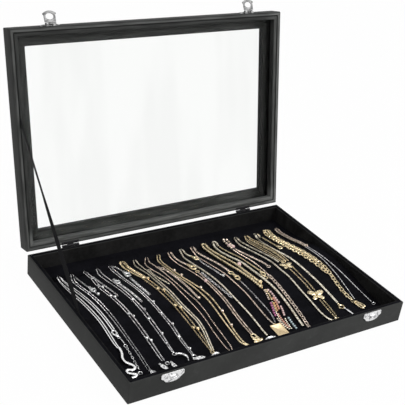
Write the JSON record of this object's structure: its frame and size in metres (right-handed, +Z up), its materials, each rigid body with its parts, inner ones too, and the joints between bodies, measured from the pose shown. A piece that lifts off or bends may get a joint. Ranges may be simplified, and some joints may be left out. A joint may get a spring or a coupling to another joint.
{
  "type": "necklace display case",
  "caption": "Shallow covered case for necklaces with an arched velvet pad and hook rail, a hinged glass lid on a ribbon strap, and swing hasps.",
  "frame": {"origin": "centre of the case's underside, on the surface it stands on", "axes": "+X along the hinge line and the case's long side, -Y towards the hasps at the front, +Z up"},
  "size_m": [0.35, 0.3221, 0.2794],
  "materials": {
    "leatherette": "fine-grained dark charcoal leatherette over board, near matt",
    "bottom_board": "thin fibreboard with a dark matt paper face",
    "velvet": "black flocked velvet",
    "lid_liner": "charcoal covering paper over thin board, slightly streaky",
    "glass": "clear float glass",
    "nickel": "bright nickel plate, lightly worn",
    "dark_metal": "dark bronzed steel",
    "silver_chain": "polished silver plate",
    "gold_chain": "polished gold plate",
    "rose_gold_chain": "polished rose gold plate",
    "ribbon": "black woven ribbon"
  },
  "bodies": {
    "case": {"case_front_wall": "leatherette", "case_back_wall": "leatherette", "case_left_wall": "leatherette", "case_right_wall": "leatherette", "case_bottom_panel": "bottom_board", "velvet_lining_front": "velvet", "velvet_lining_back": "velvet", "velvet_lining_left": "velvet", "velvet_lining_right": "velvet", "display_pad": "velvet", "hook_rail": "dark_metal", "hinge_base_leaf_left": "dark_metal", "hinge_base_leaf_right": "dark_metal", "hinge_pin_left": "dark_metal", "hinge_pin_right": "dark_metal", "keeper_plate_left": "nickel", "keeper_plate_right": "nickel", "necklace_01": "silver_chain", "necklace_02": "silver_chain", "necklace_03": "silver_chain", "necklace_04": "silver_chain", "necklace_05": "silver_chain", "necklace_06": "gold_chain", "necklace_07": "gold_chain", "necklace_08": "rose_gold_chain", "necklace_09": "gold_chain", "necklace_10": "rose_gold_chain", "necklace_11": "gold_chain", "necklace_12": "rose_gold_chain", "necklace_13": "gold_chain", "necklace_14": "gold_chain", "necklace_15": "rose_gold_chain", "necklace_16": "gold_chain", "necklace_17": "gold_chain", "necklace_18": "gold_chain", "necklace_19": "gold_chain", "necklace_20": "rose_gold_chain"},
    "lid": {"lid_front_rail": "leatherette", "lid_back_rail": "leatherette", "lid_left_rail": "leatherette", "lid_right_rail": "leatherette", "glass_stop_front": "lid_liner", "glass_stop_back": "lid_liner", "glass_stop_left": "lid_liner", "glass_stop_right": "lid_liner", "glass_pane": "glass", "hinge_lid_leaf_left": "dark_metal", "hinge_lid_leaf_right": "dark_metal", "hasp_plate_left": "nickel", "hasp_plate_right": "nickel", "hasp_pin_left": "nickel", "hasp_pin_right": "nickel", "lid_strap": "ribbon"},
    "hasp_left": {"hasp_loop_left": "nickel"},
    "hasp_right": {"hasp_loop_right": "nickel"}
  },
  "joints": [
    {"name": "lid_hinge", "type": "hinge", "parent": "case", "child": "lid", "pos_m": [0, 0.1237, 0.0258], "axis": [1, 0, 0], "range_deg": [0, 103], "deforming": ["lid_strap"]},
    {"name": "hasp_left_pivot", "type": "hinge", "parent": "lid", "child": "hasp_left", "pos_m": [-0.128, 0.18122, 0.2674], "axis": [1, 0, 0], "range_deg": [0, 106]},
    {"name": "hasp_right_pivot", "type": "hinge", "parent": "lid", "child": "hasp_right", "pos_m": [0.128, 0.18122, 0.2674], "axis": [1, 0, 0], "range_deg": [0, 106]}
  ]
}
